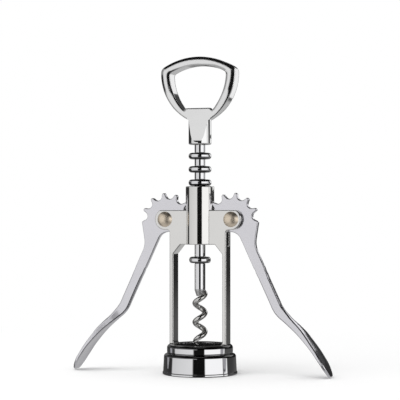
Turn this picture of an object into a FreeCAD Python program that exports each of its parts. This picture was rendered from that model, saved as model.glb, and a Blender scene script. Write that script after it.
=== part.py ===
"""Wing corkscrew, in millimetres.

It stands upright on its bell, with the origin at the centre of the bell's rim.
+Z is up, X is the direction in which the wings spread, and -Y is the front.
"""

import FreeCAD
import Part

import math
import os

# Bell: the cup that is set over the mouth of the bottle
BELL_HEIGHT = 16.0
BELL_RIM_R = 20.2
BELL_RIM_BAND = 1.2
BELL_SKIRT_INSET = 0.3
BELL_SKIRT_TAPER = 0.5
BELL_RIM_WALL = 2.6
BELL_NECK_INSET = 2.4
BELL_GROOVE_Z = 11.2
BELL_GROOVE_DEPTH = 0.25
BELL_GROOVE_WIDTH = 1.4
BELL_SHOULDER_R = 1.9
BELL_DECK = 3.2
BELL_HOLE_R = 12.75
BELL_EDGE_R = 0.5
BELL_WAIST_R = 1.6

# Liner: the moulded ring that centres the bottle in the bell
LINER_WALL = 2.05
LINER_TOP_Z = 10.4
LINER_BOTTOM_Z = 0.7
LINER_FIT = 0.05
LINER_LEAD_IN = 0.8
LINER_EDGE_R = 0.3

# Rack: a tube with rings that mesh with the wings' teeth
ROD_R = 2.9
RING_R = 6.15
RING_THICKNESS = 3.4
RING_PITCH = 7.2
RINGS_ABOVE = 5
RINGS_BELOW = 2
RING_EDGE_R = 1.5
RING_FOOT_R = 0.35
STOP_RING_R = 5.8
STOP_RING_DROP = 12.9
ROD_HEAD = 6.1
ROD_EDGE_R = 0.3

# Gear sectors on the wings
TEETH_PER_TURN = 12
REST_TOOTH_ANGLE = 7.5
ADDENDUM = 0.55
DEDENDUM = 2.65
TOOTH_TIP_R = 0.95
TOOTH_FOOT_HALF = 1.25
TOOTH_FOOT_DROP = 1.4
FULL_TEETH = 7
SECTOR_FLOOR_DROP = 6.8

# Frame: barrel, two forked brackets and two legs in one casting
MESH_LINE_X = 4.8
LEG_RISE = 67.2
FRAME_DEPTH = 9.1
BARREL_R = 7.7
BARREL_ABOVE_PIVOT = 17.8
BARREL_BELOW_PIVOT = 13.6
BRACKET_ABOVE_PIVOT = 4.9
EAR_R = 5.7
EAR_FILLET_R = 1.5
LEG_OUTER_X = 15.9
LEG_THICKNESS = 2.2
ARCH_CORNER_RUN = 4.1
ARCH_CORNER_RISE = 5.1
LEG_FOOT_FLARE = 1.2
FRAME_EDGE_R = 0.5
BARREL_EDGE_R = 0.45
TENON_THICKNESS = 1.1
TENON_DEPTH = 6.0

# Running and seating clearances
BORE_CLEARANCE = 0.1
SLOT_SIDE_CLEARANCE = 0.15
SLOT_TIP_CLEARANCE = 0.3
PIVOT_CLEARANCE = 0.05
SEAT_CLEARANCE = 0.02
SPINDLE_CLEARANCE = 0.08
END_CLEARANCE = 0.1
CUT_PAST = 1.0

# Wings: flat beside the gear, then twisted into a leaf for the thumb
WING_THICKNESS = 3.2
WING_EDGE_R = 0.5
WING_HOLLOW = 0.6
LEAF_STEP = 0.03
LEAF_PITCH = 2.5
BAR_INNER_CORNER_X = 2.85
BAR_INNER_CORNER_R = 6.0
BAR_OUTER_CORNER_X = 12.3
BAR_OUTER_CORNER_DROP = 13.8
BAR_OUTER_CORNER_R = 11.0

# Rivets that the wings turn on
RIVET_SHANK_R = 2.0
RIVET_HEAD_R = 4.15
RIVET_HEAD_HEIGHT = 1.7
RIVET_TAIL_R = 3.3
RIVET_TAIL_HEIGHT = 1.0
RIVET_TAIL_EDGE_R = 0.6

# Worm, with the rod and the tapered collar that hold it
HOLDER_LENGTH = 14.0
WIRE_R = 1.45
WORM_R = 4.1
WORM_PITCH = 10.2
WORM_TURNS = 2.7
WORM_START_ANGLE = 17.0
WORM_START_BELOW_ROD = 2.5
WORM_LEAD_ANGLE = 110.0
WORM_LEAD_RISE = 5.2
WORM_TIP_TURNS = 0.42
WORM_TIP_R = 0.22
WORM_TIP_CURVE = 1.6
WORM_TIP_STEPS = 6
SHANK_R = 1.5
COLLAR_LENGTH = 3.7
COLLAR_BAND = 0.5
COLLAR_END_R = 1.85

# Handle: socket over the shank, finger ring and cap lifter in one casting
SOCKET_R = 6.15
SOCKET_LENGTH = 13.5
SOCKET_EDGE_R = 0.7
SHANK_IN_SOCKET = 10.5
HANDLE_RISE = 47.2
LOOP_HALF_DEPTH = 5.5
LOOP_TOP_R = 37.0
LOOP_SIDE_R = 29.0
LOOP_CORNER_R = 3.6
LOOP_SIDE_CENTRE_X = 8.2
LOOP_SIDE_CENTRE_DROP = 8.6
LOOP_FOOT_R = 3.0
LOOP_EDGE_R = 1.7
HOLE_DROP = 4.4
HOLE_TOP_R = 31.0
HOLE_SIDE_R = 31.0
HOLE_CORNER_R = 2.0
HOLE_SIDE_BAND = 4.95
HOLE_SIDE_CENTRE_DROP = 8.4
HOLE_FLOOR_R = 12.0
HOLE_EDGE_R = 1.2
LIFTER_INSET = 1.7
LIFTER_RISE = 19.5
LIFTER_HALF_WIDTH = 8.0
LIFTER_CHAMFER = 1.3
LIFTER_BACK_Y = 0.8
PIN_R = 1.2
PIN_INSET = 0.4
PIN_ABOVE_SOCKET = 4.2

# Worked out from the sizes above
LINER_BORE_R = BELL_RIM_R - BELL_RIM_WALL - LINER_FIT - LINER_WALL
BELL_NECK_R = BELL_RIM_R - BELL_NECK_INSET
PITCH_R = RING_PITCH * TEETH_PER_TURN / (2 * math.pi)
TOOTH_STEP = 360.0 / TEETH_PER_TURN
GEAR_TIP_R = PITCH_R + ADDENDUM
GEAR_ROOT_R = PITCH_R - DEDENDUM
TOOTH_FOOT_R = PITCH_R - TOOTH_FOOT_DROP
PIVOT_X = MESH_LINE_X + PITCH_R
PIVOT_Z = BELL_HEIGHT + LEG_RISE
BORE_R = RING_R + BORE_CLEARANCE
HALF_DEPTH = FRAME_DEPTH / 2
SLOT_HALF = WING_THICKNESS / 2 + SLOT_SIDE_CLEARANCE
BARREL_TOP_Z = PIVOT_Z + BARREL_ABOVE_PIVOT
BARREL_BOTTOM_Z = PIVOT_Z - BARREL_BELOW_PIVOT
LEG_INNER_X = LEG_OUTER_X - LEG_THICKNESS
FIRST_GAP_Z = PIVOT_Z + PITCH_R * math.radians(REST_TOOTH_ANGLE)
RING_HEIGHTS = [FIRST_GAP_Z + RING_PITCH * (k + 0.5) for k in range(-RINGS_BELOW, RINGS_ABOVE)]
STOP_RING_Z = RING_HEIGHTS[0] - STOP_RING_DROP
RACK_BOTTOM_Z = STOP_RING_Z - RING_THICKNESS / 2
ROD_TOP_Z = RING_HEIGHTS[-1] + ROD_HEAD
SOCKET_Z = ROD_TOP_Z + END_CLEARANCE
HOLDER_TOP_Z = RACK_BOTTOM_Z - END_CLEARANCE
HOLDER_BOTTOM_Z = HOLDER_TOP_Z - HOLDER_LENGTH
COLLAR_TOP_Z = HOLDER_BOTTOM_Z - SEAT_CLEARANCE
COIL_R = WORM_R - WIRE_R
HOLE_SIDE_CENTRE_X = HOLE_SIDE_R + HOLE_SIDE_BAND + LOOP_SIDE_CENTRE_X - LOOP_SIDE_R

# Stations along a wing below the flat bar, for the right-hand wing.
# Each is (outward from the pivot, drop below it, width in the front view,
# depth from front to back, crown of the outer face, edge radius).
WING_STATIONS = [
    (14.46, 25.2, 5.65, WING_THICKNESS, 0, WING_EDGE_R),
    (16.31, 29.2, 5.65, WING_THICKNESS, 0, 0.75),
    (18.16, 33.2, 5.65, WING_THICKNESS, 0, 1.0),
    (20.62, 38.5, 5.65, WING_THICKNESS, 0, 1.0),
    (23.21, 44.1, 5.65, WING_THICKNESS, 0, 1.0),
    (24.4, 46.7, 5.65, WING_THICKNESS, 0, 1.0),
    (26.45, 49.6, 5.5, WING_THICKNESS + 0.1, 0.05, 1.0),
    (29.05, 52.2, 4.7, 4.4, 0.1, 1.0),
    (31.45, 54.45, 4.1, 5.7, 0.2, 0.95),
    (34.85, 57.4, 3.7, 8.1, 0.3, 0.85),
    (38.15, 60.6, 3.3, 10.2, 0.4, 0.75),
    (41.05, 64.0, 2.7, 11.9, 0.5, 0.65),
    (43.4, 66.9, 2.3, 13.2, 0.6, 0.6),
    (45.75, 70.0, 2.05, 14.0, 0.7, 0.6),
    (47.85, 73.2, 1.9, 14.4, 0.7, 0.6),
    (49.75, 76.1, 1.8, 14.1, 0.6, 0.6),
    (51.45, 79.2, 1.65, 12.2, 0.5, 0.55),
    (52.75, 81.6, 1.4, 8.0, 0.3, 0.5),
    (53.3, 82.6, 1.1, 4.8, 0.1, 0.4),
]

# The handle from the side: rise above the socket's end, and half depth
HANDLE_FLATS = [
    (0.6, SOCKET_R + 0.2),
    (2.3, 5.6),
    (4.9, 4.9),
    (10.3, 3.7),
    (12.9, 2.95),
    (15.4, 3.15),
    (19.4, 4.1),
    (24.4, 4.9),
    (30.4, 5.7),
]


def point(x, z, y=0.0):
    """A point of the front view, at depth y."""
    return FreeCAD.Vector(x, y, z)


def polar(x, z, radius, angle):
    """The point at an angle in degrees around (x, z), counter-clockwise from +X."""
    turn = math.radians(angle)
    return point(x + radius * math.cos(turn), z + radius * math.sin(turn))


def line(start, end):
    return Part.LineSegment(start, end).toShape()


def arc(start, middle, end):
    return Part.Arc(start, middle, end).toShape()


def rounded_wire(corners):
    """A closed wire in the front view; each corner is (x, z, radius)."""
    joins = []
    for index, (x, z, radius) in enumerate(corners):
        here = point(x, z)
        if radius <= 0:
            joins.append((here, here, here))
            continue
        before = point(*corners[index - 1][:2]) - here
        after = point(*corners[(index + 1) % len(corners)][:2]) - here
        half = before.getAngle(after) / 2
        run = min(radius / math.tan(half), 0.49 * before.Length, 0.49 * after.Length)
        before.normalize()
        after.normalize()
        bisector = before + after
        bisector.normalize()
        reach = run / math.cos(half) - run * math.tan(half)
        joins.append((here + before * run, here + bisector * reach, here + after * run))
    edges = []
    for index, (start, middle, end) in enumerate(joins):
        if start.distanceToPoint(end) > 1e-6:
            edges.append(arc(start, middle, end))
        following = joins[(index + 1) % len(joins)][0]
        edges.append(line(end, following))
    return Part.Wire(edges)


def turned(corners):
    """The solid of revolution about the vertical axis of a rounded outline."""
    face = Part.Face(rounded_wire(corners))
    return face.revolve(point(0, 0), FreeCAD.Vector(0, 0, 1), 360)


def through(wire, half_depth):
    """The solid that a front-view wire sweeps from front to back."""
    face = Part.Face(wire)
    face.translate(FreeCAD.Vector(0, -half_depth, 0))
    return face.extrude(FreeCAD.Vector(0, 2 * half_depth, 0))


def cylinder_y(x, z, radius, front, back):
    """A cylinder that runs from front to back."""
    return Part.makeCylinder(radius, back - front, point(x, z, front), FreeCAD.Vector(0, 1, 0))


def block(low, high):
    """A box between two corners, each (x, y, z)."""
    size = [high[i] - low[i] for i in range(3)]
    return Part.makeBox(*size, FreeCAD.Vector(*low))


def mirrored(shape):
    """The same shape on the other side of the corkscrew."""
    return shape.mirror(point(0, 0), FreeCAD.Vector(1, 0, 0))


def outline_edges(shape, half_depth):
    """The edges that lie in a plate's front and back faces."""
    found = []
    for edge in shape.Edges:
        box = edge.BoundBox
        if box.YLength < 1e-4 and abs(abs(box.YMin) - half_depth) < 1e-4:
            found.append(edge)
    return found


def make_bell():
    """The chromed cup: rim bead, tapered skirt, groove, neck band and holed deck."""
    skirt_r = BELL_RIM_R - BELL_SKIRT_INSET
    skirt_z = BELL_RIM_BAND + BELL_SKIRT_INSET
    seat_r = LINER_BORE_R + LINER_WALL + LINER_FIT
    seat_z = LINER_TOP_Z + LINER_FIT
    groove_r = BELL_NECK_R - BELL_GROOVE_DEPTH
    deck_z = BELL_HEIGHT - BELL_DECK
    edge = BELL_EDGE_R
    cup = turned([
        (seat_r + edge, 0, 0),
        (BELL_RIM_R, 0, edge),
        (BELL_RIM_R, BELL_RIM_BAND, edge / 2),
        (skirt_r, skirt_z, edge / 3),
        (skirt_r - BELL_SKIRT_TAPER, BELL_GROOVE_Z - BELL_GROOVE_WIDTH / 2, BELL_WAIST_R),
        (groove_r, BELL_GROOVE_Z, edge / 2),
        (BELL_NECK_R, BELL_GROOVE_Z + BELL_GROOVE_WIDTH / 2, edge),
        (BELL_NECK_R, BELL_HEIGHT, BELL_SHOULDER_R),
        (BELL_HOLE_R, BELL_HEIGHT, edge),
        (BELL_HOLE_R, deck_z, edge / 2),
        (LINER_BORE_R, deck_z, 0),
        (LINER_BORE_R, seat_z, 0),
        (seat_r, seat_z, 0),
        (seat_r, edge, 0),
    ])
    for side in (-1, 1):
        cup = cup.cut(tenon(side, SEAT_CLEARANCE))
    return cup


def tenon(side, grow):
    """The tongue under a leg that is staked into the bell's deck."""
    middle = side * (LEG_OUTER_X - LEG_THICKNESS / 2)
    half = TENON_THICKNESS / 2 + grow
    depth = TENON_DEPTH / 2 + grow
    below = BELL_HEIGHT - BELL_DECK
    return block((middle - half, -depth, below), (middle + half, depth, BELL_HEIGHT))


def make_liner():
    """The moulded centring ring, with a lead-in for the bottle's lip."""
    outer = LINER_BORE_R + LINER_WALL
    return turned([
        (LINER_BORE_R + LINER_LEAD_IN, LINER_BOTTOM_Z, 0),
        (outer, LINER_BOTTOM_Z, LINER_EDGE_R),
        (outer, LINER_TOP_Z, 0),
        (LINER_BORE_R, LINER_TOP_Z, 0),
        (LINER_BORE_R, LINER_BOTTOM_Z + 2 * LINER_LEAD_IN, 0),
    ])


def frame_outline():
    """The front view of the frame without its barrel: brackets, ears and legs."""
    top = PIVOT_Z + BRACKET_ABOVE_PIVOT
    ear_end_x = PIVOT_X + math.sqrt(EAR_R ** 2 - BRACKET_ABOVE_PIVOT ** 2)
    ear_floor = PIVOT_Z - EAR_R
    fillet_x = LEG_OUTER_X + EAR_FILLET_R
    fillet_z = ear_floor - EAR_FILLET_R
    arch_x = LEG_INNER_X - ARCH_CORNER_RUN
    arch_low = BARREL_BOTTOM_Z - ARCH_CORNER_RISE
    flare = LEG_FOOT_FLARE
    foot_z = BELL_HEIGHT

    def half(side):
        """The edges of one side, from the middle of the top to the middle of the arch."""
        path = [
            line(point(0, top), point(side * ear_end_x, top)),
            arc(point(side * ear_end_x, top),
                point(side * (PIVOT_X + EAR_R), PIVOT_Z),
                point(side * PIVOT_X, ear_floor)),
            line(point(side * PIVOT_X, ear_floor), point(side * fillet_x, ear_floor)),
            arc(point(side * fillet_x, ear_floor),
                point(side * (fillet_x - EAR_FILLET_R * math.sqrt(0.5)),
                      fillet_z + EAR_FILLET_R * math.sqrt(0.5)),
                point(side * LEG_OUTER_X, fillet_z)),
            line(point(side * LEG_OUTER_X, fillet_z), point(side * LEG_OUTER_X, foot_z)),
            line(point(side * LEG_OUTER_X, foot_z), point(side * (LEG_INNER_X - flare), foot_z)),
            arc(point(side * (LEG_INNER_X - flare), foot_z),
                point(side * (LEG_INNER_X - flare * (1 - math.sqrt(0.5))),
                      foot_z + flare * (1 - math.sqrt(0.5))),
                point(side * LEG_INNER_X, foot_z + flare)),
            line(point(side * LEG_INNER_X, foot_z + flare), point(side * LEG_INNER_X, arch_low)),
            line(point(side * LEG_INNER_X, arch_low), point(side * arch_x, BARREL_BOTTOM_Z)),
            line(point(side * arch_x, BARREL_BOTTOM_Z), point(0, BARREL_BOTTOM_Z)),
        ]
        return path

    return Part.Wire(Part.__sortEdges__(half(1) + half(-1)))


def make_frame():
    """Barrel, forked brackets and legs, bored for the rack and slotted for the wings."""
    plate = through(frame_outline(), HALF_DEPTH)
    plate = plate.makeFillet(FRAME_EDGE_R, outline_edges(plate, HALF_DEPTH))
    barrel = turned([
        (0, BARREL_BOTTOM_Z, 0),
        (BARREL_R, BARREL_BOTTOM_Z, BARREL_EDGE_R),
        (BARREL_R, BARREL_TOP_Z, BARREL_EDGE_R),
        (0, BARREL_TOP_Z, 0),
    ])
    body = plate.fuse(barrel)
    length = BARREL_TOP_Z - BARREL_BOTTOM_Z
    bore_base = FreeCAD.Vector(0, 0, BARREL_BOTTOM_Z - CUT_PAST)
    body = body.cut(Part.makeCylinder(BORE_R, length + 2 * CUT_PAST, bore_base))
    for side in (-1, 1):
        x = side * PIVOT_X
        slot = cylinder_y(x, PIVOT_Z, GEAR_TIP_R + SLOT_TIP_CLEARANCE, -SLOT_HALF, SLOT_HALF)
        ear_end = HALF_DEPTH + CUT_PAST
        hole = cylinder_y(x, PIVOT_Z, RIVET_SHANK_R + SEAT_CLEARANCE, -ear_end, ear_end)
        body = body.cut(slot).cut(hole).fuse(tenon(side, 0))
    return body.removeSplitter()


def gear_point(angle, radius, aside):
    """A point of a tooth: out along its axis, and aside from it, counter-clockwise."""
    out = polar(PIVOT_X, PIVOT_Z, radius, angle)
    turn = math.radians(angle + 90)
    return out + point(math.cos(turn), math.sin(turn)) * aside


def gear_edges(first_angle, teeth):
    """Teeth with round tips and round roots, counter-clockwise from the first angle."""
    shoulder_r = GEAR_TIP_R - TOOTH_TIP_R
    edges = []
    for tooth in range(teeth):
        angle = first_angle + tooth * TOOTH_STEP
        if tooth:
            edges.append(arc(gear_point(angle - TOOTH_STEP, TOOTH_FOOT_R, TOOTH_FOOT_HALF),
                             gear_point(angle - TOOTH_STEP / 2, GEAR_ROOT_R, 0),
                             gear_point(angle, TOOTH_FOOT_R, -TOOTH_FOOT_HALF)))
            edges.append(line(gear_point(angle, TOOTH_FOOT_R, -TOOTH_FOOT_HALF),
                              gear_point(angle, shoulder_r, -TOOTH_TIP_R)))
            edges.append(arc(gear_point(angle, shoulder_r, -TOOTH_TIP_R),
                             gear_point(angle, GEAR_TIP_R, 0),
                             gear_point(angle, shoulder_r, TOOTH_TIP_R)))
        edges.append(line(gear_point(angle, shoulder_r, TOOTH_TIP_R),
                          gear_point(angle, TOOTH_FOOT_R, TOOTH_FOOT_HALF)))
    return edges


def steady_slope(before, after):
    """The slope at a row between two slopes, level where they change sign."""
    if before * after <= 0:
        return 0.0
    return 2 * before * after / (before + after)


def even_stations():
    """The wing's table filled in at even steps, by cubics that never overshoot a row."""
    rows = WING_STATIONS
    along = [0.0]
    for behind, ahead in zip(rows, rows[1:]):
        along.append(along[-1] + math.hypot(ahead[0] - behind[0], ahead[1] - behind[1]))
    columns = []
    for values in zip(*rows):
        steps = [(values[i + 1] - values[i]) / (along[i + 1] - along[i]) for i in range(len(rows) - 1)]
        inner = [steady_slope(before, after) for before, after in zip(steps, steps[1:])]
        columns.append((values, [steps[0]] + inner + [steps[-1]]))
    count = math.ceil(along[-1] / LEAF_PITCH)
    filled = []
    for step in range(count):
        at = along[-1] * step / count
        i = max(k for k in range(len(rows) - 1) if along[k] <= at)
        gap = along[i + 1] - along[i]
        t = (at - along[i]) / gap
        row = []
        for values, slopes in columns:
            row.append(values[i] * (1 + 2 * t) * (1 - t) ** 2 + values[i + 1] * t * t * (3 - 2 * t)
                       + gap * (slopes[i] * t * (1 - t) ** 2 - slopes[i + 1] * t * t * (1 - t)))
        filled.append(tuple(row))
    return filled + [rows[-1]]


def station_frame(stations, index):
    """Middle, outward normal and half width of a wing's station in the front view."""
    x, drop, width = stations[index][:3]
    ahead = stations[min(index + 1, len(stations) - 1)]
    behind = stations[max(index - 1, 0)]
    along = point(ahead[0] - behind[0], behind[1] - ahead[1])
    along.normalize()
    normal = point(-along.z, along.x)
    middle = point(PIVOT_X + x, PIVOT_Z - drop)
    return middle, normal, width / 2


def wing_outline():
    """Gear sector and flat bar of the right-hand wing, in the front view."""
    first_angle = -REST_TOOTH_ANGLE
    last_angle = first_angle + FULL_TEETH * TOOTH_STEP
    gear = gear_edges(first_angle, FULL_TEETH + 1)
    teeth_start = gear_point(first_angle, GEAR_TIP_R - TOOTH_TIP_R, TOOTH_TIP_R)
    teeth_end = gear_point(last_angle, TOOTH_FOOT_R, TOOTH_FOOT_HALF)
    floor_z = PIVOT_Z - SECTOR_FLOOR_DROP
    floor_x = PIVOT_X - math.sqrt(GEAR_ROOT_R ** 2 - SECTOR_FLOOR_DROP ** 2)
    middle, normal, half = station_frame(WING_STATIONS, 0)
    end_inner = middle - normal * half
    end_outer = middle + normal * half
    corner = rounded_corner(point(floor_x, floor_z),
                            point(PIVOT_X + BAR_INNER_CORNER_X, floor_z),
                            end_inner, BAR_INNER_CORNER_R)
    shoulder = gear_point(first_angle, GEAR_TIP_R, 0)
    outer_corner = rounded_corner(end_outer,
                                  point(PIVOT_X + BAR_OUTER_CORNER_X, PIVOT_Z - BAR_OUTER_CORNER_DROP),
                                  shoulder, BAR_OUTER_CORNER_R)
    edges = gear + [
        line(teeth_end, point(floor_x, floor_z)),
        line(point(floor_x, floor_z), corner[0]),
        arc(*corner),
        line(corner[2], end_inner),
        line(end_inner, end_outer),
        line(end_outer, outer_corner[0]),
        arc(*outer_corner),
        line(outer_corner[2], shoulder),
        arc(shoulder, gear_point(first_angle, GEAR_TIP_R - TOOTH_TIP_R * (1 - math.sqrt(0.5)),
                                 TOOTH_TIP_R * math.sqrt(0.5)), teeth_start),
    ]
    return Part.Wire(Part.__sortEdges__(edges))


def rounded_corner(before, here, after, radius):
    """Start, middle and end of the arc that rounds a corner."""
    back = before - here
    on = after - here
    half = back.getAngle(on) / 2
    run = min(radius / math.tan(half), 0.49 * back.Length, 0.49 * on.Length)
    back.normalize()
    on.normalize()
    bisector = back + on
    bisector.normalize()
    reach = run / math.cos(half) - run * math.tan(half)
    return here + back * run, here + bisector * reach, here + on * run


def wing_section(stations, index):
    """The closed section of a wing at a station: a crowned bar with round edges."""
    middle, normal, half = station_frame(stations, index)
    depth, crown, edge_r = stations[index][3:]
    half -= LEAF_STEP
    depth -= 2 * LEAF_STEP

    def place(out, aside):
        return middle + normal * out + FreeCAD.Vector(0, aside, 0)

    def quarter(out_sign, aside_sign, from_side):
        """The arc round one edge of the section, begun on a wide face or on a side."""
        on_face = place(out_sign * half, aside_sign * (depth / 2 - edge_r))
        on_side = place(out_sign * (half - edge_r), aside_sign * depth / 2)
        skew = edge_r * (1 - math.sqrt(0.5))
        bend = place(out_sign * (half - skew), aside_sign * (depth / 2 - skew))
        return (on_side, bend, on_face) if from_side else (on_face, bend, on_side)

    def face(start, crowned, end):
        """The edge across a wide face, straight where the section has no crown."""
        return arc(start, place(crowned, 0), end) if crown else line(start, end)

    outer_front = quarter(1, -1, False)
    inner_front = quarter(-1, -1, True)
    inner_back = quarter(-1, 1, False)
    outer_back = quarter(1, 1, True)
    return Part.Wire([
        face(outer_back[2], half + crown, outer_front[0]),
        arc(*outer_front),
        line(outer_front[2], inner_front[0]),
        arc(*inner_front),
        face(inner_front[2], WING_HOLLOW * crown - half, inner_back[0]),
        arc(*inner_back),
        line(inner_back[2], outer_back[0]),
        arc(*outer_back),
    ])


def wing_edges(plate, half_depth):
    """The edges of the flat part that are rounded: all but where the leaf goes on."""
    middle, normal, half = station_frame(WING_STATIONS, 0)
    kept = []
    for edge in outline_edges(plate, half_depth):
        centre = edge.CenterOfMass
        if abs((point(centre.x, centre.z) - middle).dot(point(-normal.z, normal.x))) > 1e-3:
            kept.append(edge)
    return kept


def make_right_wing():
    """Toothed sector, flat bar and the leaf that the thumb presses."""
    half = WING_THICKNESS / 2
    plate = through(wing_outline(), half)
    plate = plate.makeFillet(WING_EDGE_R, wing_edges(plate, half))
    stations = even_stations()
    leaf = Part.makeLoft([wing_section(stations, i) for i in range(len(stations))], True, False)
    end = half + CUT_PAST
    hole = cylinder_y(PIVOT_X, PIVOT_Z, RIVET_SHANK_R + PIVOT_CLEARANCE, -end, end)
    return plate.cut(hole).fuse(leaf)


def make_rivet(side):
    """Domed head in front, shank through both ears, peened tail behind."""
    x = side * PIVOT_X
    front = -HALF_DEPTH
    tail = HALF_DEPTH
    sphere_r = (RIVET_HEAD_R ** 2 + RIVET_HEAD_HEIGHT ** 2) / (2 * RIVET_HEAD_HEIGHT)
    dome = Part.Face(Part.Wire([
        line(point(0, 0), point(RIVET_HEAD_R, 0)),
        arc(point(RIVET_HEAD_R, 0),
            polar(0, RIVET_HEAD_HEIGHT - sphere_r, sphere_r,
                  90 - math.degrees(math.asin(RIVET_HEAD_R / sphere_r)) / 2),
            point(0, RIVET_HEAD_HEIGHT)),
        line(point(0, RIVET_HEAD_HEIGHT), point(0, 0)),
    ])).revolve(point(0, 0), FreeCAD.Vector(0, 0, 1), 360)
    dome.rotate(point(0, 0), FreeCAD.Vector(1, 0, 0), 90)
    dome.translate(point(x, PIVOT_Z, front))
    foot = turned([
        (0, 0, 0),
        (RIVET_TAIL_R, 0, 0),
        (RIVET_TAIL_R, RIVET_TAIL_HEIGHT, RIVET_TAIL_EDGE_R),
        (0, RIVET_TAIL_HEIGHT, 0),
    ])
    foot.rotate(point(0, 0), FreeCAD.Vector(1, 0, 0), -90)
    foot.translate(point(x, PIVOT_Z, tail))
    shank = cylinder_y(x, PIVOT_Z, RIVET_SHANK_R, front, tail)
    return shank.fuse(dome).fuse(foot)


def ring_outline(z, radius, foot_r):
    """Corners of one rack ring with a round edge, from its lower side up."""
    half = RING_THICKNESS / 2
    return [
        (ROD_R, z - half, foot_r),
        (radius, z - half, RING_EDGE_R),
        (radius, z + half, RING_EDGE_R),
        (ROD_R, z + half, RING_FOOT_R),
    ]


def make_rack():
    """The ringed tube that the wings drive up and down the barrel."""
    bore = SHANK_R + SPINDLE_CLEARANCE
    corners = [(bore, RACK_BOTTOM_Z, 0)]
    corners += ring_outline(STOP_RING_Z, STOP_RING_R, 0)
    for z in RING_HEIGHTS:
        corners += ring_outline(z, RING_R, RING_FOOT_R)
    corners += [(ROD_R, ROD_TOP_Z, ROD_EDGE_R), (bore, ROD_TOP_Z, 0)]
    return turned(corners)


def worm_point(turns):
    """A point of the worm's wire axis, by turns above where its coil starts.

    Below zero it is the coil, and above zero it winds in to the shank.
    """
    angle = WORM_START_ANGLE + 360.0 * turns
    start_z = HOLDER_BOTTOM_Z - WORM_START_BELOW_ROD
    lead_turns = WORM_LEAD_ANGLE / 360.0
    if turns <= 0:
        radius = COIL_R
        z = start_z + WORM_PITCH * turns
    else:
        share = turns / lead_turns
        radius = COIL_R * (1 - share) ** 2 * (1 + 2 * share)
        slope = WORM_PITCH * lead_turns
        rise = WORM_LEAD_RISE
        z = start_z + slope * share + (rise - slope) * share ** 2
    turn = math.radians(angle)
    return FreeCAD.Vector(radius * math.cos(turn), radius * math.sin(turn), z)


def worm_tangent(turns):
    step = 1e-4
    along = worm_point(turns + step) - worm_point(turns - step)
    along.normalize()
    return along


def biarc(start, start_along, end, end_along):
    """Two tangent arcs from one point and direction to another."""
    across = end - start
    both = start_along + end_along
    a = 2 * (start_along.dot(end_along) - 1)
    b = -2 * across.dot(both)
    c = across.dot(across)
    reach = (-b - math.sqrt(b * b - 4 * a * c)) / (2 * a)
    first_knee = start + start_along * reach
    second_knee = end - end_along * reach
    joint = (first_knee + second_knee) * 0.5
    return [knee_arc(start, first_knee, joint), knee_arc(joint, second_knee, end)]


def knee_arc(start, knee, end):
    """The arc that touches start to knee at one end and knee to end at the other."""
    chord_middle = (start + end) * 0.5
    half = math.atan2(knee.distanceToPoint(chord_middle), start.distanceToPoint(end) / 2)
    sagitta = start.distanceToPoint(end) / 2 * math.tan(half / 2)
    toward = knee - chord_middle
    toward.normalize()
    return arc(start, chord_middle + toward * sagitta, end)


def worm_path(low, high, steps):
    """Tangent arcs along the worm's wire axis between two counts of turns."""
    edges = []
    for step in range(steps):
        start = low + (high - low) * step / steps
        end = low + (high - low) * (step + 1) / steps
        edges += biarc(worm_point(start), worm_tangent(start), worm_point(end), worm_tangent(end))
    return edges


def make_worm(grow=0.0):
    """Straight shank, open coil and a point ground on its end, all one wire.

    With grow it is the hollow that the wire needs in what holds it.
    """
    wire_r = WIRE_R + grow
    lead_turns = WORM_LEAD_ANGLE / 360.0
    tip_turns = WORM_TIP_TURNS
    quarter_turns = math.ceil((WORM_TURNS - tip_turns) * 4)
    path = worm_path(-WORM_TURNS + tip_turns, 0, quarter_turns) + worm_path(0, lead_turns, 3)
    bottom = -WORM_TURNS + tip_turns
    section = Part.Wire(Part.Circle(worm_point(bottom), worm_tangent(bottom), wire_r).toShape())
    coil = Part.Wire(path).makePipeShell([section], True, False)
    rings = []
    for step in range(WORM_TIP_STEPS + 1):
        share = step / WORM_TIP_STEPS
        turns = bottom - tip_turns * share
        radius = wire_r + (WORM_TIP_R - wire_r) * share ** WORM_TIP_CURVE
        circle = Part.Circle(worm_point(turns), worm_tangent(turns), radius)
        rings.append(Part.Wire(circle.toShape()))
    tip = Part.makeLoft(rings, True, False)
    top = worm_point(lead_turns)
    shank_top = SOCKET_Z + SHANK_IN_SOCKET
    shank = Part.makeCylinder(SHANK_R + grow, shank_top - top.z, top)
    return coil.fuse(tip).fuse(shank)


def make_holder():
    """The rod below the rack, hollow for the bent top of the worm."""
    rod = turned([
        (0, HOLDER_BOTTOM_Z, 0),
        (ROD_R, HOLDER_BOTTOM_Z, 0),
        (ROD_R, HOLDER_TOP_Z, ROD_EDGE_R),
        (0, HOLDER_TOP_Z, 0),
    ])
    return rod.cut(make_worm(SEAT_CLEARANCE))


def make_collar():
    """The tapered collar under the holder, which the worm comes out of."""
    bottom = COLLAR_TOP_Z - COLLAR_LENGTH
    cone = turned([
        (0, bottom, 0),
        (COLLAR_END_R, bottom, ROD_EDGE_R),
        (ROD_R, COLLAR_TOP_Z - COLLAR_BAND, ROD_EDGE_R),
        (ROD_R, COLLAR_TOP_Z, 0),
        (0, COLLAR_TOP_Z, 0),
    ])
    return cone.cut(make_worm(SEAT_CLEARANCE))


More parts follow.
